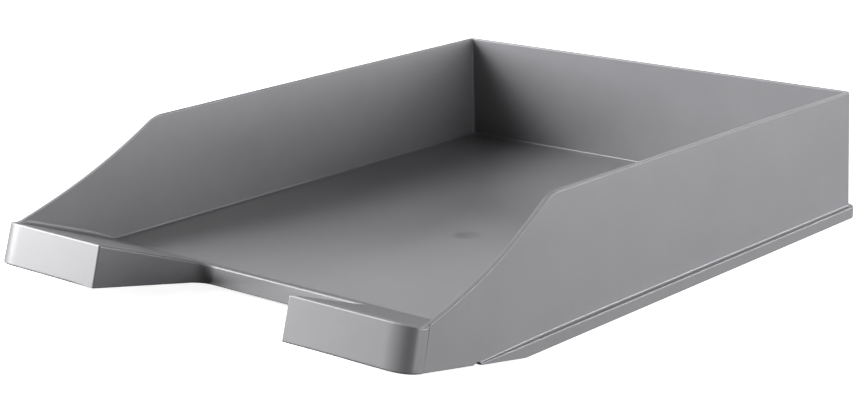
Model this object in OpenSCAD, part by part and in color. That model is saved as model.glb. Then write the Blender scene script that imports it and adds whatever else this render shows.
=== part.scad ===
// Stacking letter tray for A4 and C4 sheets, a thin-walled plastic desk tray.
// Millimetres. The origin is on the desk, at the centre of the footprint.
// +X is to the right, -Y is the open front, +Z is up.

/* [Overall size] */
// Width across the stacking skirt
tray_width = 255; // [245:1:285]
// Depth from the foot of the front plates to the back of the skirt
tray_depth = 348; // [336:1:380]
// Height of the walls above the desk
tray_height = 65; // [60:1:75]

/* [Walls] */
// Thickness of the walls, the front plates and the finger recess
wall_thickness = 2.4; // [1.8:0.1:2.6]
// How far a wall leans inwards on its way up from the skirt
wall_lean = 1.4; // [0:0.1:2]
// Outer radius of the upright back corners, just above the skirt
corner_radius = 4.5; // [4:0.5:12]

/* [Stacking skirt] */
// Height of the skirt that stands out round the sides and the back
skirt_height = 6; // [5:0.5:6]
// How far the skirt stands out from the walls
skirt_overhang = 2.4; // [2:0.1:3]
// Thickness of the skirt
skirt_thickness = 2.2; // [1.6:0.1:2.4]
// Thickness of the shelf between the skirt and the walls
shelf_thickness = 2; // [1.5:0.1:3]
// Where each side skirt ends, measured back from the front
skirt_setback = 45.4; // [42:0.2:55]

/* [Floor] */
// Height of the floor that the sheets lie on
floor_top = 8.7; // [8.7:0.1:12]
// Thickness of the floor
floor_thickness = 2; // [1.5:0.1:2]
// Diameter of the shallow round moulding mark in the floor
gate_diameter = 13; // [8:0.5:16]
// Depth of that mark
gate_depth = 0.3; // [0.1:0.1:0.6]

/* [Front plates] */
// Height of the top edge of the front plates
plate_top = 32.2; // [28:0.2:38]
// Height of the foot of the front plates, where the underside has risen like a bow
plate_foot = 13.2; // [10:0.2:15]
// How far the top edge of a plate is set back from its foot
plate_lean = 5.7; // [2:0.1:9]
// How far a plate's outer corner stands out from the side wall
plate_proud = 1.5; // [0.5:0.1:2]
// Radius of the upright outer corners
plate_corner_radius = 8.5; // [5:0.5:9]
// How far a plate reaches back round its corner, to the seam with the side wall
plate_return = 10; // [9.5:0.5:14]
// Where the underside starts to rise, measured back from the front
bow_setback = 75; // [70:1:90]

/* [Finger recess] */
// Where the floor turns up into the ramps, measured back from the front
ramp_setback = 69; // [68:0.5:80]
// Width of the finger recess at the front
recess_front_width = 118.6; // [100:0.2:130]
// Width of the finger recess at its back
recess_back_width = 104; // [80:0.2:104]
// Depth of the finger recess
recess_depth = 61.5; // [50:0.5:62]
// Radius of the two back corners of the finger recess
recess_fillet = 8; // [4:0.5:12]

/* [Side wall slope] */
// Where the slope reaches the top of the wall, measured back from the front
slope_setback = 99.2; // [90:0.2:130]
// Height of the foot of the slope, above the desk
slope_foot = 30.2; // [29:0.1:32]
// Radius of the gentle hollow of the slope
slope_radius = 330; // [200:10:900]
// Radius that rounds the slope into the top of the wall
slope_rounding = 17; // [4:1:20]

/* [Hidden] */
tray_grey = "#7d7b7c";

half_width = tray_width / 2;
half_depth = tray_depth / 2;
front_y = -half_depth;
// Outer faces of the walls, level with the top of the skirt
wall_x = half_width - skirt_overhang;
wall_y = half_depth - skirt_overhang;
lean_rate = wall_lean / (tray_height - skirt_height);
// Upright axis of the right back corner
corner_x = wall_x - corner_radius;
corner_y = wall_y - corner_radius;
fold_y = front_y + ramp_setback;
bow_y = front_y + bow_setback;
bow_rate = plate_foot / bow_setback;
skirt_end_y = front_y + skirt_setback;
shelf_z = skirt_height - shelf_thickness;
// The little gap in the lower edge of a side wall, in front of its skirt
gap_length = 3;
gap_top = skirt_height + 0.5;
// Straight rise of the ramps, from the fold to the top edge of the plates
ramp_rate = (plate_top - floor_top) / (ramp_setback - plate_lean);
ramp_angle = atan(ramp_rate);
recess_back_y = front_y + recess_depth;
recess_angle = atan((recess_front_width - recess_back_width) / 2 / recess_depth);
cheek_back_y = recess_back_y - recess_fillet * (1 - sin(recess_angle));
sill_half_width = recess_back_width / 2 + wall_thickness;
// Heights safely below and above all of the front end
low = -1;
high = plate_top + 6;
past = 5;
gate_x = 10;
gate_y = 3.5;
$fn = 96;

// How far the walls have leaned in at height z
function lean(z) = lean_rate * (z - skirt_height);
// Height of the rising underside, and of the ramps, at y
function bow(y) = bow_rate * (bow_y - y);
function ramp(y) = floor_top + ramp_rate * (fold_y - y);
// Front face of a plate, and its seam with the side wall, at height z
function plate_y(z) = front_y + plate_lean * (z - plate_foot) / (plate_top - plate_foot);
function seam_y(z) = plate_y(z) + plate_return;
// Height at which the seam crosses the rising underside
seam_rate = plate_lean / (plate_top - plate_foot);
seam_foot = bow(seam_y(0)) / (1 + bow_rate * seam_rate);
// Slope of a side wall: its two ends, the tilt of the straight line between them, half the arc's
// turn, and the rise at its foot
slope_start = [seam_y(slope_foot), slope_foot];
slope_end = [front_y + slope_setback, tray_height];
slope_chord = slope_end - slope_start;
slope_tilt = atan2(slope_chord[1], slope_chord[0]);
slope_half = asin(norm(slope_chord) / 2 / slope_radius);
foot_rise = tan(slope_tilt - slope_half);
// Where the slope, carried on over the corner of the plate, runs out in the ramp
foot_y = (ramp(0) - slope_foot + foot_rise * slope_start[0]) / (foot_rise + ramp_rate);
function arc(centre, r, from, to, steps) =
    [for (i = [0 : steps]) let (a = from + (to - from) * i / steps) centre + r * [cos(a), sin(a)]];

// Extrudes an outline drawn in Y and Z from x0 to x1
module along_x(x0, x1) {
    translate([x0, 0, 0]) rotate([90, 0, 90]) linear_extrude(x1 - x0) children();
}

// Extrudes an outline drawn in X and Z from y0 to y1
module along_y(y0, y1) {
    translate([0, y1, 0]) rotate([90, 0, 0]) linear_extrude(y1 - y0) children();
}

module mirrored() {
    mirror([1, 0, 0]) children();
}

// ---- walls ----

// Side wall seen from the side: level top, rounded shoulder, hollow slope, seam and lower edge
function slope_outline() =
    let (from = slope_tilt - slope_half,
         bend = slope_tilt + slope_half,
         centre = slope_start + slope_radius * [-sin(from), cos(from)],
         trim = slope_rounding * tan(bend / 2),
         stop = bend - asin(trim / 2 / slope_radius) * 2,
         shoulder = [slope_end[0] + trim, tray_height - slope_rounding])
    concat(arc(centre, slope_radius, from - 90, stop - 90, 16),
           arc(shoulder, slope_rounding, 90 + bend, 90, 6));

module side_outline() {
    gap_front_y = skirt_end_y - gap_length;
    polygon(concat(
        slope_outline(),
        [[corner_y, tray_height],
         [corner_y, skirt_height],
         [skirt_end_y, skirt_height],
         [skirt_end_y, gap_top],
         [gap_front_y, gap_top],
         [gap_front_y, bow(gap_front_y)],
         [seam_y(seam_foot), seam_foot]]));
}

// Leaning band of a wall: the distance out from a centre line against the height
module wall_band(out, z0, z1) {
    polygon([
        [out - lean(z0), z0],
        [out - lean(z1), z1],
        [out - lean(z1) - wall_thickness, z1],
        [out - lean(z0) - wall_thickness, z0],
    ]);
}

module side_wall() {
    intersection() {
        along_y(front_y, corner_y) wall_band(wall_x, 0, tray_height);
        along_x(0, half_width) side_outline();
    }
}

module right_wall() {
    color(tray_grey) side_wall();
}

module left_wall() {
    color(tray_grey) mirrored() side_wall();
}

module back_corner() {
    translate([corner_x, corner_y, 0])
        rotate_extrude(angle = 90) wall_band(corner_radius, skirt_height, tray_height);
}

// Back wall with the two rounded corners that it turns through
module back_wall() {
    color(tray_grey) union() {
        along_x(-corner_x, corner_x) wall_band(wall_y, skirt_height, tray_height);
        back_corner();
        mirrored() back_corner();
    }
}

// ---- stacking skirt ----

// Skirt and shelf: the distance out from a wall's outer face against the height
module skirt_band(out) {
    polygon([
        [out - wall_thickness, shelf_z],
        [out - wall_thickness, skirt_height],
        [out + skirt_overhang, skirt_height],
        [out + skirt_overhang, 0],
        [out + skirt_overhang - skirt_thickness, 0],
        [out + skirt_overhang - skirt_thickness, shelf_z],
    ]);
}

module side_skirt() {
    intersection() {
        along_y(skirt_end_y, corner_y) skirt_band(wall_x);
        along_x(0, half_width + past) polygon([
            [skirt_end_y, bow(skirt_end_y)],
            [bow_y, 0],
            [corner_y, 0],
            [corner_y, skirt_height],
            [skirt_end_y, skirt_height],
        ]);
    }
}

module right_skirt() {
    color(tray_grey) side_skirt();
}

module left_skirt() {
    color(tray_grey) mirrored() side_skirt();
}

module skirt_corner() {
    translate([corner_x, corner_y, 0]) rotate_extrude(angle = 90) skirt_band(corner_radius);
}

module back_skirt() {
    color(tray_grey) union() {
        along_x(-corner_x, corner_x) skirt_band(wall_y);
        skirt_corner();
        mirrored() skirt_corner();
    }
}

// ---- floor ----

// The space between the walls, rounded like them in its back corners
module wall_cavity(top) {
    inner = wall_thickness;
    along_y(fold_y, corner_y) polygon([
        [-wall_x + lean(0) + inner, 0],
        [wall_x - lean(0) - inner, 0],
        [wall_x - lean(top) - inner, top],
        [-wall_x + lean(top) + inner, top],
    ]);
    along_x(-corner_x, corner_x) polygon([
        [fold_y, 0],
        [wall_y - lean(0) - inner, 0],
        [wall_y - lean(top) - inner, top],
        [fold_y, top],
    ]);
    for (side = [-1, 1])
        translate([side * corner_x, corner_y, 0]) rotate_extrude() polygon([
            [0, 0],
            [corner_radius - lean(0) - inner, 0],
            [corner_radius - lean(top) - inner, top],
            [0, top],
        ]);
}

module floor_panel() {
    color(tray_grey) difference() {
        intersection() {
            translate([-half_width, fold_y, floor_top - floor_thickness])
                cube([tray_width, half_depth - fold_y, floor_thickness]);
            wall_cavity(floor_top + past);
        }
        translate([gate_x, gate_y, floor_top - gate_depth])
            cylinder(d = gate_diameter, h = gate_depth + past);
    }
}

// ---- front end ----

// Plan of the right half of the front end at height z. It lies out beyond the wall's outer face
// and inset from the plate's front face, and reaches a distance behind the seam.
module front_plan(z, out, inset, behind) {
    x = wall_x - lean(z) + out;
    y = plate_y(z) + inset;
    r = plate_corner_radius - inset;
    back_y = seam_y(z) + behind;
    polygon(concat(
        [[0, back_y], [0, y]],
        arc([x - r, y + r], r, -90, 0, 12),
        [[x, back_y]]));
}

// Solid between two heights, leaning back with the plate and in with the wall
module front_block(out, inset, behind) {
    slice = 0.001;
    hull()
        for (z = [low, high])
            translate([0, 0, z]) linear_extrude(slice) front_plan(z, out, inset, behind);
}

// Space enclosed by the front plates and the side walls
module front_cavity(behind) {
    front_block(-wall_thickness, wall_thickness, behind);
}

// Plan of the finger recess, widened by grow
module recess_plan(grow) {
    open_y = front_y - past;
    r = recess_fillet;
    side_x = recess_back_width / 2 + (recess_back_y - open_y) * tan(recess_angle)
        + grow / cos(recess_angle);
    centre_x = recess_back_width / 2 + r * tan(recess_angle) - r / cos(recess_angle);
    centre_y = recess_back_y - r;
    polygon(concat(
        [[-side_x, open_y], [side_x, open_y]],
        arc([centre_x, centre_y], r + grow, recess_angle, 90, 10),
        arc([-centre_x, centre_y], r + grow, 90, 180 - recess_angle, 10)));
}

module recess_prism(grow) {
    translate([0, 0, low]) linear_extrude(high - low) recess_plan(grow);
}

// Everything between the rising underside and the plane of the ramps, in front of the fold. The
// points of extra stand on that plane, from back to front.
module front_profile(extra = []) {
    polygon(concat(
        [[front_y - past, bow(front_y - past)],
         [fold_y, bow(fold_y)],
         [fold_y, floor_top]],
        extra,
        [[front_y - past, ramp(front_y - past)]]));
}

// Front plate with its rounded outer corner, back to the seam with the side wall. The foot of
// the wall's slope runs down over the back of the corner.
module front_plate() {
    difference() {
        intersection() {
            front_block(plate_proud, 0, 0);
            along_x(0, half_width) front_profile([
                [slope_start[0], ramp(slope_start[0])],
                slope_start,
                [foot_y, ramp(foot_y)],
            ]);
        }
        front_cavity(past);
        recess_prism(0);
    }
}

module right_front_plate() {
    color(tray_grey) front_plate();
}

module left_front_plate() {
    color(tray_grey) mirrored() front_plate();
}

// Sloping sheet from the fold up to the plates, before it is split in three
module ramp_sheet() {
    drop = wall_thickness / cos(ramp_angle);
    difference() {
        intersection() {
            along_x(-half_width, half_width) polygon([
                [fold_y, floor_top],
                [front_y, ramp(front_y)],
                [front_y, ramp(front_y) - drop],
                [fold_y, floor_top - drop],
            ]);
            union() {
                front_cavity(ramp_setback);
                mirrored() front_cavity(ramp_setback);
            }
        }
        recess_prism(wall_thickness);
    }
}

// Slice of the front end between two distances from the centre line
module between_x(x0, x1) {
    intersection() {
        children();
        translate([x0, front_y - past, low]) cube([x1 - x0, ramp_setback + past, high - low]);
    }
}

module right_ramp() {
    color(tray_grey) between_x(sill_half_width, half_width) ramp_sheet();
}

module left_ramp() {
    color(tray_grey) between_x(-half_width, -sill_half_width) ramp_sheet();
}

module front_sill() {
    color(tray_grey) between_x(-sill_half_width, sill_half_width) ramp_sheet();
}

// Wall round the finger recess, before it is split in three
module recess_wall() {
    intersection() {
        difference() {
            recess_prism(wall_thickness);
            recess_prism(0);
        }
        along_x(-half_width, half_width) front_profile();
    }
}

module recess_cheek() {
    intersection() {
        recess_wall();
        along_x(0, half_width) polygon([
            [plate_y(low) + wall_thickness, low],
            [cheek_back_y, low],
            [cheek_back_y, high],
            [plate_y(high) + wall_thickness, high],
        ]);
    }
}

module right_recess_cheek() {
    color(tray_grey) recess_cheek();
}

module left_recess_cheek() {
    color(tray_grey) mirrored() recess_cheek();
}

// Back of the finger recess, with its two rounded corners
module recess_apron() {
    color(tray_grey) intersection() {
        recess_wall();
        translate([-half_width, cheek_back_y, low]) cube([tray_width, recess_depth, high]);
    }
}

floor_panel();
left_wall();
right_wall();
back_wall();
left_skirt();
right_skirt();
back_skirt();
left_front_plate();
right_front_plate();
left_ramp();
right_ramp();
front_sill();
left_recess_cheek();
right_recess_cheek();
recess_apron();
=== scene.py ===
import math

import bpy
import numpy as np
from mathutils import Matrix, Vector
from mathutils.geometry import tessellate_polygon


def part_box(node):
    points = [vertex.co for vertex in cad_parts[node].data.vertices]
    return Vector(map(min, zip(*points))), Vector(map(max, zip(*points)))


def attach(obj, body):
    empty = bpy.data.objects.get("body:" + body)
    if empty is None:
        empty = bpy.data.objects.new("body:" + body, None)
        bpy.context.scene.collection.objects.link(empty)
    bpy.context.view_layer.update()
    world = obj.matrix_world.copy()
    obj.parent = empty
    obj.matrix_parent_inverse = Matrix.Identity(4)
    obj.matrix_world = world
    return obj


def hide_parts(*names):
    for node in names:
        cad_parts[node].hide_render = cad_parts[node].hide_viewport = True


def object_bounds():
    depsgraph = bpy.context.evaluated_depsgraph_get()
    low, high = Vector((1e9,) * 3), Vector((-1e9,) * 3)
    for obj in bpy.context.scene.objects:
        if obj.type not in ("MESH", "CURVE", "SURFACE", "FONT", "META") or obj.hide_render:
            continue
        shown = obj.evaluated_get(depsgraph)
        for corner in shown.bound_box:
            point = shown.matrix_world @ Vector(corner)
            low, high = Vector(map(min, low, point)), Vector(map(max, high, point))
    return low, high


# Looks of the stacking letter tray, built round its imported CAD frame. Metres, +Z up, -Y is the open front.
#
# The tray is one moulding of nearly even thickness. Each CAD node gets a closed shell of the same section
# of it, with the roundings that the mould gives: upright sheets are swept along their plan, and the floor
# and the ramps are plates with a small fillet against the walls.

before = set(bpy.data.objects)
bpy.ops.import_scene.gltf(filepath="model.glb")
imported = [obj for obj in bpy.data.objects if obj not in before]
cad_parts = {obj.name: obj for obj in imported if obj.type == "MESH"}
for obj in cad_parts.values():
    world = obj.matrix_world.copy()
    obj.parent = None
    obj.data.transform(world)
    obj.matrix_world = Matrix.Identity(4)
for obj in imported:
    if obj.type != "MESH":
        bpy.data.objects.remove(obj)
cad_low, cad_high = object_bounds()

MM = 0.001

# ---- driving dimensions ----

HALF_WIDTH = cad_high.x
HALF_DEPTH = cad_high.y
FRONT_Y = -HALF_DEPTH
WALL_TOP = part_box("right_wall")[1].z
CORNER_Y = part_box("right_wall")[1].y
SKIRT_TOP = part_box("back_skirt")[1].z
FLOOR_BOTTOM, FLOOR_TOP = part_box("floor_panel")[0].z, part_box("floor_panel")[1].z
FOLD_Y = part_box("floor_panel")[0].y
SKIRT_END_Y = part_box("right_skirt")[0].y
PLATE_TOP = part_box("right_front_plate")[1].z

THICKNESS = 2.4 * MM
WALL_LEAN = 1.4 * MM
OVERHANG = 2.4 * MM
SKIRT_THICKNESS = 2.2 * MM
SHELF_THICKNESS = 2 * MM

PLATE_FOOT = 13.2 * MM
PLATE_LEAN = 5.7 * MM
PLATE_RETURN = 10 * MM
BOW_SETBACK = 75 * MM

RECESS_BACK_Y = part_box("recess_apron")[1].y - THICKNESS
RECESS_BACK_HALF = 52 * MM
RECESS_FRONT_HALF = 59.3 * MM
RECESS_RADIUS = 8 * MM
RECESS_CORNER_RADIUS = 1 * MM

SLOPE_SETBACK = 99.2 * MM
SLOPE_FOOT = 30.2 * MM
SLOPE_RADIUS = 330 * MM
SLOPE_ROUNDING = 17 * MM
GAP_LENGTH = 3 * MM
GAP_RISE = 0.5 * MM

GATE = (10 * MM, 3.5 * MM)
GATE_RADIUS = 7 * MM
GATE_DEPTH = 0.4 * MM

# Slight warps and drafts that only the visible shells have: both side walls flare out towards the front,
# the right wall's rim bows in and the left one's a little out, the plates widen at their foot, the recess
# narrows at its foot, and its back leans back
FRONT_FLARE = 1.8 * MM
FLARE_SETBACK = 114 * MM
FLARE_LENGTH = 90 * MM
RIGHT_BOW = 1.4 * MM
LEFT_BOW = -0.4 * MM
BOW_RUN = 95 * MM
BOW_SETBACK_FRONT = 54 * MM
BOW_FADE = 40 * MM
VISIBLE_PROUD = 2.2 * MM
PLATE_DRAFT = 0.25 * MM
APRON_DRAFT = 4.5 * MM
RECESS_DRAFT = 0.7 * MM

# Roundings and the seam's groove, which only the visible shells have
RIM_RADIUS = 0.6 * MM
SHELF_FILLET = 1.0 * MM
BEAD_RADIUS = 0.7 * MM
SKIRT_FOOT = 0.3 * MM
PLATE_EDGE = 0.8 * MM
PLATE_CORNER_WIDTH = 13.5 * MM
PLATE_CORNER_DEPTH = 9.6 * MM
PLATE_CORNER_POWER = 2.5
LIP_RADIUS = 2.2 * MM
LOWER_EDGE = 0.5 * MM
SEAM_GROOVE = 0.9 * MM
SEAM_WIDTH = 0.6 * MM
HIDDEN_EDGE = 0.2 * MM
SKIRT_INNER_EDGE = 0.3 * MM
SEAM_EDGE = 0.4 * MM
FOLD_RADIUS = 7 * MM
FLOOR_FILLET = 1.0 * MM
RAMP_FILLET = 2.5 * MM

# ---- derived places ----

WALL_X = HALF_WIDTH - OVERHANG
WALL_Y = HALF_DEPTH - OVERHANG
CORNER_RADIUS = WALL_Y - CORNER_Y
CORNER_X = WALL_X - CORNER_RADIUS
LEAN_RATE = WALL_LEAN / (WALL_TOP - SKIRT_TOP)
BOW_Y = FRONT_Y + BOW_SETBACK
BOW_RATE = PLATE_FOOT / BOW_SETBACK
PLATE_RATE = PLATE_LEAN / (PLATE_TOP - PLATE_FOOT)
RAMP_RATE = (PLATE_TOP - FLOOR_TOP) / (FOLD_Y - FRONT_Y - PLATE_LEAN)
RAMP_ANGLE = math.atan(RAMP_RATE)
RAMP_DROP = THICKNESS / math.cos(RAMP_ANGLE)
FOLD_REACH = FOLD_RADIUS * math.tan(RAMP_ANGLE / 2)
RECESS_ANGLE = math.atan((RECESS_FRONT_HALF - RECESS_BACK_HALF) / (RECESS_BACK_Y - FRONT_Y))
GAP_FRONT_Y = SKIRT_END_Y - GAP_LENGTH
GAP_TOP = SKIRT_TOP + GAP_RISE
SHELF_Z = SKIRT_TOP - SHELF_THICKNESS


def lean(z):
    """How far the walls have leaned in at height z."""
    return LEAN_RATE * (z - SKIRT_TOP)


def ease(t):
    t = min(1.0, max(0.0, t))
    return t * t * (3 - 2 * t)


def flare(y):
    """How far a side wall stands out near its front end."""
    return FRONT_FLARE * ease((FRONT_Y + FLARE_SETBACK - y) / FLARE_LENGTH)


def side_x(y, z, bow_in=0.0):
    """Outer face of the right wall. bow_in is how far its rim bows in."""
    middle = ease((CORNER_Y - y) / BOW_RUN) * ease((y - FRONT_Y - BOW_SETBACK_FRONT) / BOW_FADE)
    return WALL_X - lean(z) + flare(y) - bow_in * middle * (z - SKIRT_TOP) / (WALL_TOP - SKIRT_TOP)


def plate_y(z):
    """Front face of the front plates at height z."""
    return FRONT_Y + PLATE_RATE * (z - PLATE_FOOT)


def seam_y(z):
    """Seam between a plate and its side wall at height z."""
    return plate_y(z) + PLATE_RETURN


def bow(y):
    """Height of the underside, which rises like a bow at the front."""
    return max(0.0, BOW_RATE * (BOW_Y - y))


def deck(y):
    """Height of the upper face of the floor and the ramps, with the soft fold between them."""
    ramp = FLOOR_TOP + RAMP_RATE * (FOLD_Y - y)
    if y >= FOLD_Y + FOLD_REACH:
        return FLOOR_TOP
    if y <= FOLD_Y - FOLD_REACH * math.cos(RAMP_ANGLE):
        return ramp
    run = FOLD_Y + FOLD_REACH - y
    return FLOOR_TOP + FOLD_RADIUS - math.sqrt(FOLD_RADIUS**2 - run**2)


def deck_rise(y):
    """Slope of that face towards +Y."""
    step = 0.001 * MM
    return (deck(y + step) - deck(y - step)) / (2 * step)


SLOPE_START = np.array([seam_y(SLOPE_FOOT), SLOPE_FOOT])
SLOPE_END = np.array([FRONT_Y + SLOPE_SETBACK, WALL_TOP])
SLOPE_CHORD = SLOPE_END - SLOPE_START
SLOPE_TILT = math.atan2(SLOPE_CHORD[1], SLOPE_CHORD[0])
SLOPE_HALF = math.asin(np.linalg.norm(SLOPE_CHORD) / 2 / SLOPE_RADIUS)
SLOPE_FROM = SLOPE_TILT - SLOPE_HALF
SLOPE_BEND = SLOPE_TILT + SLOPE_HALF
SLOPE_CENTRE = SLOPE_START + SLOPE_RADIUS * np.array([-math.sin(SLOPE_FROM), math.cos(SLOPE_FROM)])
SHOULDER_Y = SLOPE_END[0] + SLOPE_ROUNDING * math.tan(SLOPE_BEND / 2)
SHOULDER_START_Y = SHOULDER_Y - SLOPE_ROUNDING * math.sin(SLOPE_BEND)


def wall_top(y):
    """Top edge of a side wall: level, rounded shoulder, hollow slope, and its straight run-out."""
    if y >= SHOULDER_Y:
        return WALL_TOP
    if y >= SHOULDER_START_Y:
        return WALL_TOP - SLOPE_ROUNDING + math.sqrt(SLOPE_ROUNDING**2 - (y - SHOULDER_Y) ** 2)
    if y >= SLOPE_START[0]:
        return SLOPE_CENTRE[1] - math.sqrt(SLOPE_RADIUS**2 - (y - SLOPE_CENTRE[0]) ** 2)
    return SLOPE_FOOT + math.tan(SLOPE_FROM) * (y - SLOPE_START[0])


def wall_bottom(y):
    """Lower edge of a side wall: the rising underside, the little gap, and the shelf it stands on."""
    turn = 1.2 * MM
    step = 0.3 * MM
    if y < GAP_FRONT_Y - turn:
        return bow(y)
    if y < GAP_FRONT_Y:
        part = (y - GAP_FRONT_Y + turn) / turn
        return bow(y) + (GAP_TOP - bow(y)) * (1 - math.sqrt(1 - part**2))
    if y < SKIRT_END_Y - step:
        return GAP_TOP
    return max(SKIRT_TOP, GAP_TOP - (y - SKIRT_END_Y + step) / step * GAP_RISE)


def recess_x(y, z):
    """Right side of the finger recess, which is a little narrower at its foot."""
    draft = RECESS_DRAFT * (PLATE_TOP - z) / (PLATE_TOP - PLATE_FOOT)
    return RECESS_BACK_HALF + (RECESS_BACK_Y - y) * math.tan(RECESS_ANGLE) - draft


def recess_back(z):
    """Face at the back of the recess, which leans back a little."""
    return RECESS_BACK_Y + APRON_DRAFT * (z - PLATE_FOOT) / (PLATE_TOP - PLATE_FOOT)


# ---- closed shells with exact normals ----

class Shell:
    """A closed mesh that welds its points and keeps a normal for every face corner."""

    def __init__(self):
        self.points = []
        self.index = {}
        self.faces = []
        self.normals = []

    def point(self, place):
        key = tuple(int(round(c * 1e8)) for c in place)
        if key not in self.index:
            self.index[key] = len(self.points)
            self.points.append(tuple(float(c) for c in place))
        return self.index[key]

    def face(self, places, normals=None):
        """Adds a face. Normals point out of the shell and also set the face's winding."""
        corners = []
        for place, normal in zip(places, normals if normals is not None else [None] * len(places)):
            i = self.point(place)
            if not corners or (corners[-1][0] != i and corners[0][0] != i):
                corners.append((i, normal))
        if len(corners) < 3:
            return
        ring = np.array([self.points[i] for i, _ in corners])
        flat = np.cross(ring, np.roll(ring, -1, axis=0)).sum(axis=0)
        length = np.linalg.norm(flat)
        if length < 1e-16:
            return
        flat = flat / length
        if normals is None:
            self.faces.append([i for i, _ in corners])
            self.normals.extend([tuple(flat)] * len(corners))
            return
        if np.dot(flat, sum(n for _, n in corners)) < 0:
            corners.reverse()
            flat = -flat
        self.faces.append([i for i, _ in corners])
        for _, normal in corners:
            length = np.linalg.norm(normal)
            self.normals.append(tuple(normal / length if length > 1e-14 else flat))

    def flat(self, places, normal):
        self.face(places, [np.array(normal, float)] * len(places))


def rounded(before, corner, after, radius, steps):
    """Points of a rounded corner, each with the direction in which the outline arrives and leaves."""
    a, b = before - corner, after - corner
    room = 0.45 * min(np.linalg.norm(a), np.linalg.norm(b))
    a, b = a / np.linalg.norm(a), b / np.linalg.norm(b)
    if radius == 0:
        return [(corner, -a, b)]
    angle = math.acos(max(-1.0, min(1.0, float(a @ b))))
    reach = min(radius / math.tan(angle / 2), room)
    radius = reach * math.tan(angle / 2)
    middle = (a + b) / np.linalg.norm(a + b)
    centre = corner + middle * radius / math.sin(angle / 2)
    start, end, turn = corner + a * reach - centre, corner + b * reach - centre, math.pi - angle
    ring = []
    for i in range(steps + 1):
        f = i / steps
        spot = (math.sin((1 - f) * turn) * start + math.sin(f * turn) * end) / math.sin(turn)
        way = math.cos(f * turn) * end - math.cos((1 - f) * turn) * start
        ring.append((centre + spot, way, way))
    return ring


def outline_ring(corners, radii, steps):
    """Rounded outline through the corners, as rounded() gives it."""
    ring = []
    count = len(corners)
    for i, (radius, n) in enumerate(zip(radii, steps)):
        ring += rounded(corners[i - 1], corners[i], corners[(i + 1) % count], radius, n)
    return ring


def settle(height, plan, guess):
    """Height at which a sheet, whose plan moves with height, meets a surface."""
    z = guess
    for _ in range(24):
        z = height(*plan(z))
    return np.array([*plan(z), z])


def upright(outer, inner, top, bottom, radii, steps=(4, 5, 5, 3)):
    """Section of an upright sheet. Its corners run lower outer, upper outer, upper inner, lower inner."""
    def section(u):
        faces = [(outer, bottom), (outer, top), (inner, top), (inner, bottom)]
        corners = [settle(lambda x, y, h=h: h(y), lambda z, p=p: p(u, z), 0.03) for p, h in faces]
        sizes = radii(u) if callable(radii) else radii
        return outline_ring(corners, sizes, [n if r else 0 for r, n in zip(sizes, steps)])
    return section


def sweep(section, stops):
    """Closed shell of a section along its stops, with an end face at both ends."""
    shell = Shell()
    step = 1e-5
    rings = []
    for u in stops:
        ring = section(u)
        ahead, behind = section(u + step), section(u - step)
        row = []
        for (place, way_in, way_out), after, before in zip(ring, ahead, behind):
            along = after[0] - before[0]
            row.append((place, np.cross(way_in, along), np.cross(way_out, along)))
        rings.append(row)
    count = len(rings[0])
    first, second = (np.array([p for p, _, _ in row]) for row in rings[:2])
    area = np.cross(first, np.roll(first, -1, axis=0)).sum(axis=0)
    sign = 1 if area @ (second.mean(axis=0) - first.mean(axis=0)) > 0 else -1
    for row, nxt in zip(rings, rings[1:]):
        for j in range(count):
            k = (j + 1) % count
            corners = [row[j], row[k], nxt[k], nxt[j]]
            normals = [sign * row[j][2], sign * row[k][1], sign * nxt[k][1], sign * nxt[j][2]]
            shell.face([c[0] for c in corners], normals)
    for row, other in ((rings[0], rings[1]), (rings[-1], rings[-2])):
        away = np.mean([p for p, _, _ in row], axis=0) - np.mean([p for p, _, _ in other], axis=0)
        ring = np.array([p for p, _, _ in row])
        flat = np.cross(ring, np.roll(ring, -1, axis=0)).sum(axis=0)
        shell.flat(list(ring), flat if flat @ away > 0 else -flat)
    return shell


def spread(low, high, count):
    return [low + (high - low) * i / count for i in range(count + 1)]


def joined(*parts):
    """Ascending stops without repeats."""
    return sorted({round(u, 9) for part in parts for u in part})


# ---- walls ----

def side_stop(y, z):
    """Stop along a side wall that passes through y at height z."""
    return (y - seam_y(z)) / (CORNER_Y - seam_y(z))


def side_y(u, z):
    return seam_y(z) + u * (CORNER_Y - seam_y(z))


def seam_groove(u):
    """Depth of the fine groove where the wall's outer face runs into its plate."""
    behind = u * (CORNER_Y - seam_y(SLOPE_FOOT))
    return SEAM_GROOVE * max(0.0, 1 - max(0.0, behind) / SEAM_WIDTH)


def side_wall(bow_in):
    low, high = SKIRT_TOP, WALL_TOP
    skirt_start = side_stop(SKIRT_END_Y, low)

    def edges(u):
        lower = LOWER_EDGE if u < skirt_start else HIDDEN_EDGE
        return (lower, RIM_RADIUS, RIM_RADIUS, HIDDEN_EDGE)

    section = upright(
        lambda u, z: (side_x(side_y(u, z), z, bow_in) - seam_groove(u), side_y(u, z)),
        lambda u, z: (side_x(side_y(u, z), z, bow_in) - THICKNESS, side_y(u, z)),
        wall_top, wall_bottom, edges)
    groove = [0.0006, 0.0012, 0.0018, 0.0025]
    slope = spread(0, side_stop(SHOULDER_START_Y, high), 14)
    shoulder = spread(slope[-1], side_stop(SHOULDER_Y, high), 8)
    gap = [side_stop(GAP_FRONT_Y + d * MM, low) for d in (-1.25, -1.0, -0.7, -0.4, -0.2, -0.1, -0.03, 0.01)]
    shelf = [side_stop(SKIRT_END_Y + d * MM, low) for d in (-0.31, -0.15, -0.01, 0.3)]
    return sweep(section, joined(groove, slope, shoulder, gap, shelf, spread(shoulder[-1], 1, 14)))


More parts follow.
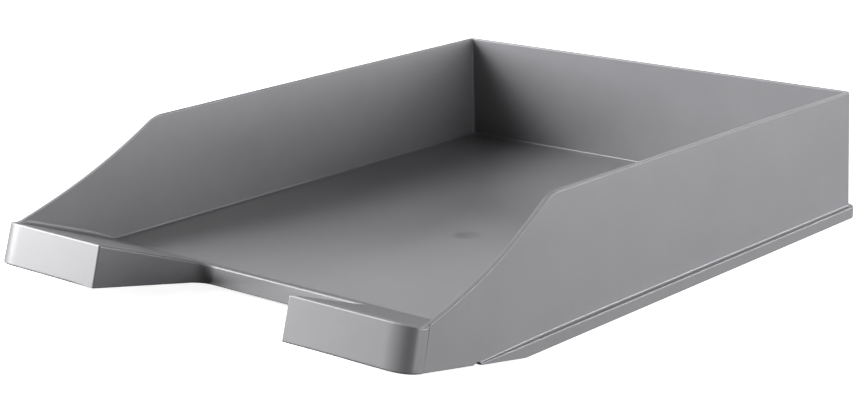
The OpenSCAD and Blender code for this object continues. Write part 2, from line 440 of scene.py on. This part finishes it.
def round_back(out, z, u):
    """Plan point a distance out from the corner's axis, from the right (0) round the back to the left (3)."""
    if u < 1:
        angle = u * math.pi / 2
        return (CORNER_X + out * math.cos(angle), CORNER_Y + out * math.sin(angle))
    if u < 2:
        return (CORNER_X * (3 - 2 * u), CORNER_Y + out)
    angle = (u - 1) * math.pi / 2
    return (-CORNER_X + out * math.cos(angle), CORNER_Y + out * math.sin(angle))


BACK_STOPS = joined(spread(0, 1, 12), spread(1, 2, 6), spread(2, 3, 12))


def back_wall():
    section = upright(
        lambda u, z: round_back(CORNER_RADIUS - lean(z), z, u),
        lambda u, z: round_back(CORNER_RADIUS - lean(z) - THICKNESS, z, u),
        lambda y: WALL_TOP, lambda y: SKIRT_TOP,
        (HIDDEN_EDGE, RIM_RADIUS, RIM_RADIUS, HIDDEN_EDGE))
    return sweep(section, BACK_STOPS)


# ---- stacking skirt ----

def skirt_section(plan, foot, reach, base):
    """Section of the skirt, its shelf and the fillet against the wall that stands on it.

    Plan gives the point a distance out from the wall's outer face."""
    def section(u):
        z0 = foot(u)
        shelf = max(SHELF_Z, z0 + 0.05 * MM)
        out, rest = reach(u), base(u)
        inner = min(out - SKIRT_INNER_EDGE, OVERHANG - SKIRT_THICKNESS)
        fillet = min(SHELF_FILLET, 0.5 * (out - rest))
        behind_face = rest - 0.1 * MM

        def spot(d, z):
            return np.array([*plan(u, d), z])

        def corner(before, here, after, radius, steps):
            return rounded(spot(*before), spot(*here), spot(*after), radius, steps)

        a, b = (-THICKNESS, shelf), (-THICKNESS, SKIRT_TOP)
        c, e = (behind_face, SKIRT_TOP), (rest + fillet, SKIRT_TOP)
        d = (rest - lean(SKIRT_TOP + fillet), SKIRT_TOP + fillet)
        f, g, h, i = (out, SKIRT_TOP), (out, z0), (inner, z0), (inner, shelf)
        ring = corner(i, a, b, HIDDEN_EDGE, 2) + corner(a, b, c, HIDDEN_EDGE, 2)
        ring += corner(b, c, d, 0, 0)
        up, away = spot(0, 1) - spot(0, 0), spot(1, 0) - spot(0, 0)
        for step in range(7):
            turn = math.pi / 2 * step / 6
            foot_d = rest - lean(SKIRT_TOP + fillet) * (1 - step / 6)
            place = spot(foot_d + fillet * (1 - math.cos(turn)), SKIRT_TOP + fillet * (1 - math.sin(turn)))
            way = away * math.sin(turn) - up * math.cos(turn)
            ring.append((place, up if step == 0 else way, way))
        ring += corner((2 * e[0] - f[0], SKIRT_TOP), f, g, BEAD_RADIUS, 6) + corner(f, g, h, SKIRT_FOOT, 4)
        ring += corner(g, h, i, SKIRT_INNER_EDGE, 3) + corner(h, i, a, 0, 0)
        return ring
    return section


def side_skirt():
    length = CORNER_Y - SKIRT_END_Y
    tip = 1.2 * MM

    def base(u):
        return flare(SKIRT_END_Y + u * length)

    def reach(u):
        behind = u * length
        nose = OVERHANG - base(u) - 0.3 * MM
        part = max(0.0, 1 - behind / tip)
        return OVERHANG - nose * (1 - math.sqrt(1 - part**2))

    section = skirt_section(
        lambda u, d: (WALL_X + d, SKIRT_END_Y + u * length),
        lambda u: bow(SKIRT_END_Y + u * length), reach, base)
    nose = [0.02 * MM / length, *(d * MM / length for d in (0.06, 0.15, 0.3, 0.5, 0.8, 1.2))]
    rise = spread(tip / length, (BOW_Y - SKIRT_END_Y) / length, 6)
    bend = [(BOW_Y - SKIRT_END_Y + d * MM) / length for d in (-0.01, 0.01)]
    return sweep(section, joined(nose, rise, bend, spread((BOW_Y - SKIRT_END_Y) / length, 1, 12)))


def back_skirt():
    section = skirt_section(
        lambda u, d: round_back(CORNER_RADIUS + d, 0, u), lambda u: 0.0, lambda u: OVERHANG, lambda u: 0.0)
    return sweep(section, BACK_STOPS)


# ---- front plates and finger recess ----

def turn_centre(z):
    """Axis of the small rounding between a plate's face and the side of the recess."""
    y = plate_y(z) + RECESS_CORNER_RADIUS
    return recess_x(y, z) + RECESS_CORNER_RADIUS / math.cos(RECESS_ANGLE), y


def inner_corner(z):
    y = plate_y(z) + THICKNESS
    return recess_x(y, z) + THICKNESS / math.cos(RECESS_ANGLE), y


def plate_side(z):
    draft = PLATE_DRAFT * (PLATE_TOP - z) / (PLATE_TOP - PLATE_FOOT)
    return WALL_X + VISIBLE_PROUD + draft - lean(z)


def corner_turn(part):
    """Point on the corner's outline, a quarter of a squarish oval whose bend starts and ends softly."""
    angle = part * math.pi / 2
    return math.cos(angle) ** (2 / PLATE_CORNER_POWER), math.sin(angle) ** (2 / PLATE_CORNER_POWER)


def plate_outer(u, z):
    """Outer face of a plate: return (0 to 1), corner (to 2), face (to 3), turn into the recess (to 4)."""
    x = plate_side(z) - PLATE_CORNER_WIDTH
    y = plate_y(z) + PLATE_CORNER_DEPTH
    if u < 1:
        short = max(0.0, SEAM_EDGE - u * (PLATE_RETURN - PLATE_CORNER_DEPTH))
        inset = SEAM_EDGE - math.sqrt(SEAM_EDGE**2 - short**2)
        return x + PLATE_CORNER_WIDTH - inset, seam_y(z) + u * (y - seam_y(z))
    if u < 2:
        across, ahead = corner_turn(u - 1)
        return x + PLATE_CORNER_WIDTH * across, y - PLATE_CORNER_DEPTH * ahead
    end_x, end_y = turn_centre(z)
    if u < 3:
        return x + (end_x - x) * (u - 2), plate_y(z)
    angle = -math.pi / 2 - (u - 3) * (math.pi / 2 - RECESS_ANGLE)
    return (end_x + RECESS_CORNER_RADIUS * math.cos(angle),
            end_y + RECESS_CORNER_RADIUS * math.sin(angle))


def plate_inner(u, z):
    y = plate_y(z) + PLATE_CORNER_DEPTH
    wide, deep = PLATE_CORNER_WIDTH - THICKNESS, PLATE_CORNER_DEPTH - THICKNESS
    x = side_x(y, z) - THICKNESS - wide
    if u < 1:
        return x + wide, seam_y(z) + u * (y - seam_y(z))
    if u < 2:
        across, ahead = corner_turn(u - 1)
        return x + wide * across, y - deep * ahead
    if u < 3:
        end_x, _ = inner_corner(z)
        return x + (end_x - x) * (u - 2), plate_y(z) + THICKNESS
    return inner_corner(z)


def plate_edges(u):
    lip = PLATE_EDGE + (LIP_RADIUS - PLATE_EDGE) * min(1, max(0, u - 3))
    return (LOWER_EDGE + 0.4 * MM * (u < 3), lip, 0, 0)


CORNER_STOPS = spread(1, 2, 14)
TURN_STOPS = spread(3, 4, 6)


def front_plate():
    section = upright(plate_outer, plate_inner, lambda y: max(deck(y), wall_top(y)) if y < CORNER_Y else 0,
                      bow, plate_edges)
    seam = [0.001, 0.01, 0.03, 0.06, 0.1, 0.16, 0.3, 0.5, 0.7, 0.85, 0.92, 0.96]
    return sweep(section, joined(seam, CORNER_STOPS, spread(2, 3, 4), TURN_STOPS))


def cheek_outer(u, z):
    start = turn_centre(z)[1] - RECESS_CORNER_RADIUS * math.sin(RECESS_ANGLE)
    end = recess_back(z) - RECESS_RADIUS * (1 - math.sin(RECESS_ANGLE))
    y = start + u * (end - start)
    return recess_x(y, z), y


def cheek_inner(u, z):
    start = inner_corner(z)[1]
    end = recess_back(z) - RECESS_RADIUS + (RECESS_RADIUS + THICKNESS) * math.sin(RECESS_ANGLE)
    y = start + u * (end - start)
    return recess_x(y, z) + THICKNESS / math.cos(RECESS_ANGLE), y


LIP_EDGES = (LOWER_EDGE, LIP_RADIUS, 0, HIDDEN_EDGE)


def recess_cheek():
    return sweep(upright(cheek_outer, cheek_inner, deck, bow, LIP_EDGES), spread(0, 1, 8))


def apron_plan(out):
    """Plan of the back of the recess, a distance out behind its face: corner, straight, corner."""
    radius = RECESS_RADIUS + out
    turn = math.pi / 2 - RECESS_ANGLE

    def plan(u, z):
        centre_y = recess_back(z) - RECESS_RADIUS
        centre_x = recess_x(centre_y, z) - RECESS_RADIUS / math.cos(RECESS_ANGLE)
        if u < 1:
            angle = RECESS_ANGLE + u * turn
            return centre_x + radius * math.cos(angle), centre_y + radius * math.sin(angle)
        if u < 2:
            return centre_x * (3 - 2 * u), centre_y + radius
        angle = math.pi / 2 + (u - 2) * turn
        return -centre_x + radius * math.cos(angle), centre_y + radius * math.sin(angle)
    return plan


APRON_STOPS = joined(spread(0, 1, 14), spread(1, 2, 6), spread(2, 3, 14))


def recess_apron():
    section = upright(apron_plan(0), apron_plan(THICKNESS), deck, bow, LIP_EDGES)
    return sweep(section, APRON_STOPS)


# ---- floor, ramps and sill ----

FILLET_STEPS = 6
FOLD_ROWS = 5
FOLD_BACK = spread(FOLD_Y, FOLD_Y + FOLD_REACH, FOLD_ROWS)
FOLD_FRONT = spread(FOLD_Y, FOLD_Y - FOLD_REACH * math.cos(RAMP_ANGLE), FOLD_ROWS)


def deck_point(x, y, drop=0.0):
    return np.array([x, y, deck(y) - drop])


def deck_normal(y):
    return np.array([0, -deck_rise(y), 1])


def side_fillet(y, radius):
    """Fillet between the deck and the right wall's inner face at y: points and normals, from the wall."""
    low = deck(y)
    points, normals = [], []
    for i in range(FILLET_STEPS + 1):
        angle = math.pi / 2 * i / FILLET_STEPS
        drop = 1 - math.sin(angle)
        wall_x = side_x(y, low + radius * drop) - THICKNESS
        points.append(np.array([wall_x - radius * (1 - math.cos(angle)), y, low + radius * drop]))
        rise = deck_rise(y)
        normals.append(np.array([-math.cos(angle), -rise * math.sin(angle), math.sin(angle)]))
    return points, normals


def flip(place):
    return np.array([-place[0], place[1], place[2]])


def gate_ring(radius, depth, count=48):
    return [np.array([GATE[0] + radius * math.cos(a), GATE[1] + radius * math.sin(a), FLOOR_TOP - depth])
            for a in (2 * math.pi * i / count for i in range(count))]


def gate_mark(shell):
    """Shallow round dish left by the mould's gate."""
    steps = 12
    radii = [GATE_RADIUS * (1 - i / (steps + 1)) for i in range(steps + 1)]
    turns = [math.pi * i / (steps + 1) for i in range(steps + 1)]
    rings = [gate_ring(r, GATE_DEPTH * (1 - math.cos(t)) / 2) for r, t in zip(radii, turns)]
    tilts = [math.pi / 2 * GATE_DEPTH / GATE_RADIUS * math.sin(t) for t in turns]
    count = len(rings[0])
    for outer, inner, out_tilt, in_tilt in zip(rings, rings[1:], tilts, tilts[1:]):
        for i in range(count):
            k = (i + 1) % count
            places = [outer[i], outer[k], inner[k], inner[i]]
            normals = []
            for place, tilt in zip(places, (out_tilt, out_tilt, in_tilt, in_tilt)):
                away = np.array([place[0] - GATE[0], place[1] - GATE[1]])
                away = away / np.linalg.norm(away)
                normals.append(np.array([-away[0] * tilt, -away[1] * tilt, 1]))
            shell.face(places, normals)
    shell.flat(rings[-1], (0, 0, 1))
    return rings[0]


def back_fillet(u):
    """Fillet between the floor and the back wall or its corners at a stop: points and normals."""
    points, normals = [], []
    for i in range(FILLET_STEPS + 1):
        angle = math.pi / 2 * i / FILLET_STEPS
        height = FLOOR_TOP + FLOOR_FILLET * (1 - math.sin(angle))
        out = CORNER_RADIUS - THICKNESS - lean(height) - FLOOR_FILLET * (1 - math.cos(angle))
        x, y = round_back(out, height, u)
        ahead = np.array(round_back(1.0, 0, u)) - np.array(round_back(0.0, 0, u))
        points.append(np.array([x, y, height]))
        normals.append(np.array([-ahead[0] * math.cos(angle), -ahead[1] * math.cos(angle),
                                 math.sin(angle)]))
    return points, normals


def floor_stations():
    """Fillet all round the floor, from the right end of the fold round the back to its left end."""
    rows = joined(FOLD_BACK, spread(FOLD_Y + FOLD_REACH, FOLD_Y / 2, 6), spread(FOLD_Y / 2, CORNER_Y, 4))
    right = [side_fillet(y, FLOOR_FILLET) for y in rows]
    back = [back_fillet(u) for u in BACK_STOPS[1:-1]]
    left = [([flip(p) for p in points], [flip(n) for n in normals]) for points, normals in reversed(right)]
    return right + back + left


def floor_panel():
    shell = Shell()
    stations = floor_stations()
    for (points, normals), (next_points, next_normals) in zip(stations, stations[1:]):
        for i in range(FILLET_STEPS):
            shell.face([points[i], points[i + 1], next_points[i + 1], next_points[i]],
                       [normals[i], normals[i + 1], next_normals[i + 1], next_normals[i]])
        foot, next_foot = points[0].copy(), next_points[0].copy()
        foot[2] = next_foot[2] = FLOOR_BOTTOM
        out = -(normals[0] + next_normals[0])
        shell.face([points[0], next_points[0], next_foot, foot], [out] * 4)
    count = len(FOLD_BACK)
    for i in range(count - 1):
        right, ahead = stations[i][0][-1], stations[i + 1][0][-1]
        back, front = deck_normal(FOLD_BACK[i + 1]), deck_normal(FOLD_BACK[i])
        shell.face([right, ahead, flip(ahead), flip(right)], [front, back, back, front])
    border = [points[-1] for points, _ in stations[count - 1:len(stations) - count + 1]]
    fill_flat(shell, border, gate_mark(shell))
    feet = [np.array([points[0][0], points[0][1], FLOOR_BOTTOM]) for points, _ in stations]
    shell.flat(feet, (0, 0, -1))
    front_points = stations[0][0]
    shell.flat([feet[0], *front_points, *[flip(p) for p in reversed(front_points)], feet[-1]], (0, -1, 0))
    return shell


def fill_flat(shell, border, hole):
    """Level face inside a border with a round hole, as a fan of triangles."""
    loops = [[Vector(p) for p in border], [Vector(p) for p in reversed(hole)]]
    places = border + list(reversed(hole))
    for triangle in tessellate_polygon(loops):
        shell.flat([places[i] for i in triangle], (0, 0, 1))


def ramp_fillet(y):
    """Radius of the fillet between a ramp and its wall, which dies out under the foot of the slope."""
    room = wall_top(y) - deck(y) - RIM_RADIUS
    grown = min(1.0, (FOLD_Y - y) / (12 * MM))
    return max(0.05 * MM, min(FLOOR_FILLET + (RAMP_FILLET - FLOOR_FILLET) * grown, 0.8 * room))


def inner_points(plan, stops):
    """Upper inner edge of an upright sheet at its stops, which the deck runs up to."""
    return [settle(lambda x, y: deck(y), lambda z, u=u: plan(u, z), 0.03) for u in stops]


def ramp():
    shell = Shell()
    arc = inner_points(plate_inner, joined(CORNER_STOPS, spread(2, 3, 4)))
    cheek = inner_points(cheek_inner, spread(0, 1, 8))
    front_y = arc[0][1]
    rows = FOLD_FRONT + spread(FOLD_FRONT[-1], front_y, 14)[1:]
    stations = [side_fillet(y, ramp_fillet(y)) for y in rows]
    for (points, normals), (next_points, next_normals) in zip(stations, stations[1:]):
        for i in range(len(points) - 1):
            shell.face([points[i], points[i + 1], next_points[i + 1], next_points[i]],
                       [normals[i], normals[i + 1], next_normals[i + 1], next_normals[i]])
        shell.flat([points[0], next_points[0], under(next_points[0]), under(points[0])], (1, 0, 0))
    border_x = cheek[-1][0]
    for i in range(FOLD_ROWS):
        back, front = stations[i][0][-1], stations[i + 1][0][-1]
        n_back, n_front = deck_normal(rows[i]), deck_normal(rows[i + 1])
        places = [back, front, deck_point(border_x, rows[i + 1]), deck_point(border_x, rows[i])]
        shell.face(places, [n_back, n_front, n_front, n_back])
    inner_side = [deck_point(border_x, y) for y in reversed(rows[:FOLD_ROWS + 1])]
    flat_edge = [points[-1] for points, _ in stations[FOLD_ROWS:]]
    flat_edge += arc + cheek + [inner_side[0]]
    shell.flat(flat_edge, deck_normal(rows[FOLD_ROWS + 2]))
    rim = [points[0] for points, _ in stations] + arc + cheek + inner_side
    lower = [under(p) for p in rim]
    shell.flat(lower, (0, 0, -1))
    start = len(stations)
    last = stations[-1][0]
    shell.flat([*last, arc[0], under(arc[0]), under(last[0])], (0, -1, 0))
    for i in range(start, len(rim) - 1):
        side(shell, rim[i], rim[i + 1])
    back = stations[0][0]
    shell.flat([lower[-1], deck_point(border_x, FOLD_Y), *reversed(back), lower[0]], (0, 1, 0))
    return shell


def under(place):
    """Point of the deck's lower face under a point near its upper face."""
    return np.array([place[0], place[1], deck(place[1]) - RAMP_DROP])


def side(shell, a, b):
    """Hidden side face of a ramp or the sill between two points of its rim."""
    out = np.array([b[1] - a[1], a[0] - b[0], 0])
    if np.linalg.norm(out) < 1e-9:
        return
    shell.face([a, b, under(b), under(a)], [-out] * 4)


def front_sill():
    shell = Shell()
    edge = inner_points(apron_plan(THICKNESS), APRON_STOPS)
    half = edge[0][0]
    rows = FOLD_FRONT
    for back, front in zip(rows, rows[1:]):
        n_back, n_front = deck_normal(back), deck_normal(front)
        places = [deck_point(half, back), deck_point(-half, back), deck_point(-half, front),
                  deck_point(half, front)]
        shell.face(places, [n_back, n_back, n_front, n_front])
    right = [deck_point(half, y) for y in rows]
    left = [deck_point(-half, y) for y in reversed(rows)]
    shell.flat([right[-1], *edge, left[0]], deck_normal(edge[0][1]))
    rim = right + edge + left
    shell.flat([under(p) for p in rim], (0, 0, -1))
    for a, b in zip(rim, rim[1:] + rim[:1]):
        side(shell, a, b)
    return shell


# ---- material ----

GREY = (0.198, 0.197, 0.207)
MOTTLE_SHADES = (0.92, 1.08)
# Lighter shade of the rounded edges: partly rubbed wear, partly a painted highlight along the rims
WORN_AND_HIGHLIGHT_SHADE = 1.4
REFRACTION = 1.55
ROUGHNESS = 0.3
UNEVEN_GLOSS = 0.022
EDGE_DULLING = 0.14
GATE_DULLING = 0.25

# Sizes of the noise patterns, in features per metre, and depths of the two that stand out as relief
MOTTLE_SCALE = 34
SCUFF_AND_HIGHLIGHT_SCALE = 420
SMEAR_SCALE = 11
WAVE_SCALE = 14
WAVE_DEPTH = 0.15 * MM
GRAIN_SCALE = 1500
GRAIN_DEPTH = 0.005 * MM

def node(tree, kind, inputs=None, **settings):
    """Adds a node. Inputs are set by name or place, to a value or to another node's output."""
    made = tree.nodes.new(kind)
    for name, value in settings.items():
        setattr(made, name, value)
    for name, value in (inputs or {}).items():
        if isinstance(value, bpy.types.NodeSocket):
            tree.links.new(value, made.inputs[name])
        else:
            made.inputs[name].default_value = value
    return made


def noise(tree, place, scale, detail=2.0, roughness=0.5):
    return node(tree, "ShaderNodeTexNoise", {"Vector": place, "Scale": scale, "Detail": detail,
                                             "Roughness": roughness}).outputs["Fac"]


def remap(tree, value, low, high, to_low, to_high):
    return node(tree, "ShaderNodeMapRange", {"Value": value, "From Min": low, "From Max": high,
                                             "To Min": to_low, "To Max": to_high}).outputs["Result"]


def mixed(tree, share, first, second):
    mix = node(tree, "ShaderNodeMix", {"Factor": share, "A": first, "B": second}, data_type="RGBA")
    return mix.outputs["Result"]


def grey(level):
    return tuple(level * channel for channel in GREY) + (1,)


def moulded_plastic():
    """Semi-gloss grey plastic: faint mottle, fine moulded grain, long sink waves, rubbed edges with a painted
    highlight.
    """
    material = bpy.data.materials.new("moulded_grey_styrene")
    material.use_nodes = True
    tree = material.node_tree
    shader = tree.nodes["Principled BSDF"]
    place = node(tree, "ShaderNodeTexCoord").outputs["Object"]
    edge = node(tree, "ShaderNodeAttribute", attribute_name="edge").outputs["Fac"]

    mottle = noise(tree, place, MOTTLE_SCALE, 4, 0.6)
    colour = mixed(tree, mottle, *(grey(shade) for shade in MOTTLE_SHADES))
    # Lighter colour along rounded edges, broken up by noise: partly rubbed wear, partly a painted highlight
    # of the rims
    scuff_and_highlight_noise = noise(tree, place, SCUFF_AND_HIGHLIGHT_SCALE, 3, 0.7)
    worn_and_highlit = node(tree, "ShaderNodeMath", {0: edge, 1: remap(tree, scuff_and_highlight_noise, 0.4, 0.8, 0, 0.3)},
                operation="MULTIPLY").outputs[0]
    colour = mixed(tree, worn_and_highlit, colour, grey(WORN_AND_HIGHLIGHT_SHADE))
    tree.links.new(colour, shader.inputs["Base Color"])

    smears = noise(tree, place, SMEAR_SCALE, 3, 0.55)
    gloss = remap(tree, smears, 0, 1, ROUGHNESS - UNEVEN_GLOSS, ROUGHNESS + UNEVEN_GLOSS)
    gate = node(tree, "ShaderNodeVectorMath", {0: place, 1: (*GATE, FLOOR_TOP)}, operation="DISTANCE")
    dull = remap(tree, gate.outputs["Value"], 0.6 * GATE_RADIUS, 1.1 * GATE_RADIUS, GATE_DULLING, 0)
    gloss = node(tree, "ShaderNodeMath", {0: gloss, 1: dull}, operation="ADD").outputs[0]
    gloss = node(tree, "ShaderNodeMath", {0: edge, 1: EDGE_DULLING, 2: gloss},
                 operation="MULTIPLY_ADD").outputs[0]
    tree.links.new(gloss, shader.inputs["Roughness"])
    shader.inputs["IOR"].default_value = REFRACTION

    grain = noise(tree, place, GRAIN_SCALE, 2, 0.6)
    waves = noise(tree, place, WAVE_SCALE, 0, 0.4)
    bump = node(tree, "ShaderNodeBump", {"Height": waves, "Strength": 1.0, "Distance": WAVE_DEPTH})
    bump = node(tree, "ShaderNodeBump", {"Height": grain, "Strength": 1.0, "Distance": GRAIN_DEPTH,
                                         "Normal": bump.outputs["Normal"]})
    tree.links.new(bump.outputs["Normal"], shader.inputs["Normal"])
    return material


# ---- pieces ----

# Bend between facets at which a rounding counts as an edge for wear and a painted highlight, and at which it
# counts fully, in degrees
WEAR_AND_HIGHLIGHT_FROM = 5
WEAR_AND_HIGHLIGHT_FULL = 8


def edge_wear_and_highlight(points, faces, normals):
    """1 along the middle of small outward roundings, where a hand rubs and a highlight is painted, and 0 on
    the other faces.
    """
    bend = np.full(len(points), math.pi)
    start = 0
    for face in faces:
        ring = points[list(face)]
        flat = np.cross(ring, np.roll(ring, -1, axis=0)).sum(axis=0)
        flat = flat / np.linalg.norm(flat)
        for i, normal in zip(face, normals[start:start + len(face)]):
            bulges = (ring.mean(axis=0) - points[i]) @ np.array(normal) < 0
            angle = math.acos(max(-1.0, min(1.0, float(flat @ np.array(normal)))))
            bend[i] = min(bend[i], angle if bulges else 0.0)
        start += len(face)
    return np.clip((np.degrees(bend) - WEAR_AND_HIGHLIGHT_FROM) / (WEAR_AND_HIGHLIGHT_FULL - WEAR_AND_HIGHLIGHT_FROM), 0, 1)


def make_piece(shell, name, cad_node, material, mirror=False):
    """Turns a shell into an object that rides with the tray and stands for its CAD node."""
    points = np.array(shell.points)
    faces = shell.faces
    normals = shell.normals
    if mirror:
        points = points * np.array([-1, 1, 1])
        turned = []
        start = 0
        for face in faces:
            turned.extend((-n[0], n[1], n[2]) for n in reversed(normals[start:start + len(face)]))
            start += len(face)
        faces = [face[::-1] for face in faces]
        normals = turned
    mesh = bpy.data.meshes.new(name)
    mesh.from_pydata([tuple(p) for p in points], [], faces)
    mesh.shade_smooth()
    mesh.normals_split_custom_set(normals)
    mesh.update()
    # Edge mask, which the material lightens as wear and as a painted highlight, and makes duller
    wear_and_highlight_layer = mesh.attributes.new("edge", "FLOAT", "POINT")
    wear_and_highlight_layer.data.foreach_set("value", edge_wear_and_highlight(points, faces, normals))
    mesh.materials.append(material)
    piece = bpy.data.objects.new(name, mesh)
    bpy.context.scene.collection.objects.link(piece)
    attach(piece, "root")
    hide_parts(cad_node)
    return piece


def make_tray(material):
    pairs = (("skirt", "skirt", side_skirt()),
             ("plate", "front_plate", front_plate()), ("ramp", "ramp", ramp()),
             ("cheek", "recess_cheek", recess_cheek()))
    make_piece(side_wall(RIGHT_BOW), "tray_wall_right", "right_wall", material)
    make_piece(side_wall(LEFT_BOW), "tray_wall_left", "left_wall", material, mirror=True)
    for name, cad_name, shell in pairs:
        make_piece(shell, f"tray_{name}_right", f"right_{cad_name}", material)
        make_piece(shell, f"tray_{name}_left", f"left_{cad_name}", material, mirror=True)
    for name, shell in (("floor_panel", floor_panel()), ("back_wall", back_wall()),
                        ("back_skirt", back_skirt()), ("front_sill", front_sill()),
                        ("recess_apron", recess_apron())):
        make_piece(shell, f"tray_{name}", name, material)


# ---- studio ----

# The camera's place, aim and lens come from a fit of perspective
CAMERA_TARGET = Vector((-4.28 * MM, -6.86 * MM, 23.89 * MM))
CAMERA_DISTANCE = 1.02648
CAMERA_AZIMUTH = 40.987
CAMERA_ELEVATION = 15.409
CAMERA_ROLL = -1.112
LENS = 88.73
SENSOR_WIDTH = 36

LIGHT_TARGET = Vector((0, 0, 0.03))
LIGHT_DISTANCE = 1.6

# Name, azimuth, elevation, width, height, power: a bank of soft boxes to the left of the front, and
# mostly low panels round the other sides. The positions and sizes were chosen one by one. Most powers come
# from a fit of brightness, scaled and rounded, and some of them were then changed.
LIGHTS = (
    ("key_low", -60, 14, 0.52, 0.45, 28),
    ("key_middle", -60, 28, 0.52, 0.45, 14.2),
    ("key_high", -60, 42, 0.52, 0.45, 3.4),
    ("front_middle", -40, 28, 0.52, 0.45, 17),
    ("front_high", -40, 42, 0.52, 0.45, 4.4),
    ("front_reflector", -50, 3, 0.9, 0.2, 3.2),
    ("right_panel", 90, 10, 0.9, 0.5, 12),
    ("right_high_panel", 120, 42, 0.7, 0.5, 2.2),
    ("right_back_panel", 120, 10, 0.9, 0.5, 16.5),
    ("right_back_reflector", 130, 3, 0.9, 0.2, 6.5),
    ("back_panel", 150, 10, 0.9, 0.5, 5.6),
    ("left_back_panel", -150, 10, 0.9, 0.5, 2.4),
    ("left_panel", -120, 28, 0.9, 0.6, 1.4),
)
WORLD_LEVEL = 0.02

TABLE_HALF = 4.0
TABLE_WHITE = 0.8
TABLE_ROUGHNESS = 0.9
TABLE_GLOW = 0.9

def aim(thing, target, roll=0.0):
    """Points an object's -Z axis at the target, upright, then rolls it about that axis."""
    turn = (target - thing.location).to_track_quat("-Z", "Y").to_matrix()
    thing.rotation_euler = (turn @ Matrix.Rotation(roll, 3, "Z")).to_euler()


def direction(azimuth, elevation):
    """Unit vector towards a viewer who stands at azimuth degrees, counted from the front to the right."""
    a, e = math.radians(azimuth), math.radians(elevation)
    return Vector((math.sin(a) * math.cos(e), -math.cos(a) * math.cos(e), math.sin(e)))


def make_camera():
    data = bpy.data.cameras.new("camera")
    camera = bpy.data.objects.new("camera", data)
    bpy.context.scene.collection.objects.link(camera)
    camera.location = CAMERA_TARGET + CAMERA_DISTANCE * direction(CAMERA_AZIMUTH, CAMERA_ELEVATION)
    aim(camera, CAMERA_TARGET, math.radians(CAMERA_ROLL))
    data.lens = LENS
    data.sensor_width = SENSOR_WIDTH
    data.clip_start = 0.01
    bpy.context.scene.camera = camera


def make_light(name, azimuth, elevation, width, height, power):
    """Soft panel that faces the tray."""
    data = bpy.data.lights.new(name, "AREA")
    data.shape = "RECTANGLE"
    data.size, data.size_y = width, height
    data.energy = power
    light = bpy.data.objects.new(name, data)
    bpy.context.scene.collection.objects.link(light)
    light.location = LIGHT_TARGET + LIGHT_DISTANCE * direction(azimuth, elevation)
    light.visible_camera = False
    aim(light, LIGHT_TARGET)


def make_lights():
    for light in LIGHTS:
        make_light(*light)
    world = bpy.data.worlds.new("world")
    world.use_nodes = True
    bpy.context.scene.world = world
    background = world.node_tree.nodes["Background"]
    background.inputs["Color"].default_value = (1, 1, 1, 1)
    background.inputs["Strength"].default_value = WORLD_LEVEL


def make_table():
    """Plain pale table that glows a little, so that the ground stays near white.

    Its glow and its shade reach only the camera: it neither lights the tray nor is mirrored in it."""
    mesh = bpy.data.meshes.new("table")
    corners = [(-TABLE_HALF, -TABLE_HALF, 0), (TABLE_HALF, -TABLE_HALF, 0),
               (TABLE_HALF, TABLE_HALF, 0), (-TABLE_HALF, TABLE_HALF, 0)]
    mesh.from_pydata(corners, [], [(0, 1, 2, 3)])
    material = bpy.data.materials.new("pale_table")
    material.use_nodes = True
    shader = material.node_tree.nodes["Principled BSDF"]
    shader.inputs["Base Color"].default_value = (TABLE_WHITE, TABLE_WHITE, TABLE_WHITE, 1)
    shader.inputs["Roughness"].default_value = TABLE_ROUGHNESS
    shader.inputs["Specular IOR Level"].default_value = 0.0
    shader.inputs["Emission Color"].default_value = (1, 1, 1, 1)
    shader.inputs["Emission Strength"].default_value = TABLE_GLOW
    mesh.materials.append(material)
    table = bpy.data.objects.new("table", mesh)
    bpy.context.scene.collection.objects.link(table)
    table.visible_diffuse = False
    table.visible_glossy = False


make_camera()
make_tray(moulded_plastic())
make_table()
make_lights()
bpy.context.scene.view_settings.view_transform = "Standard"
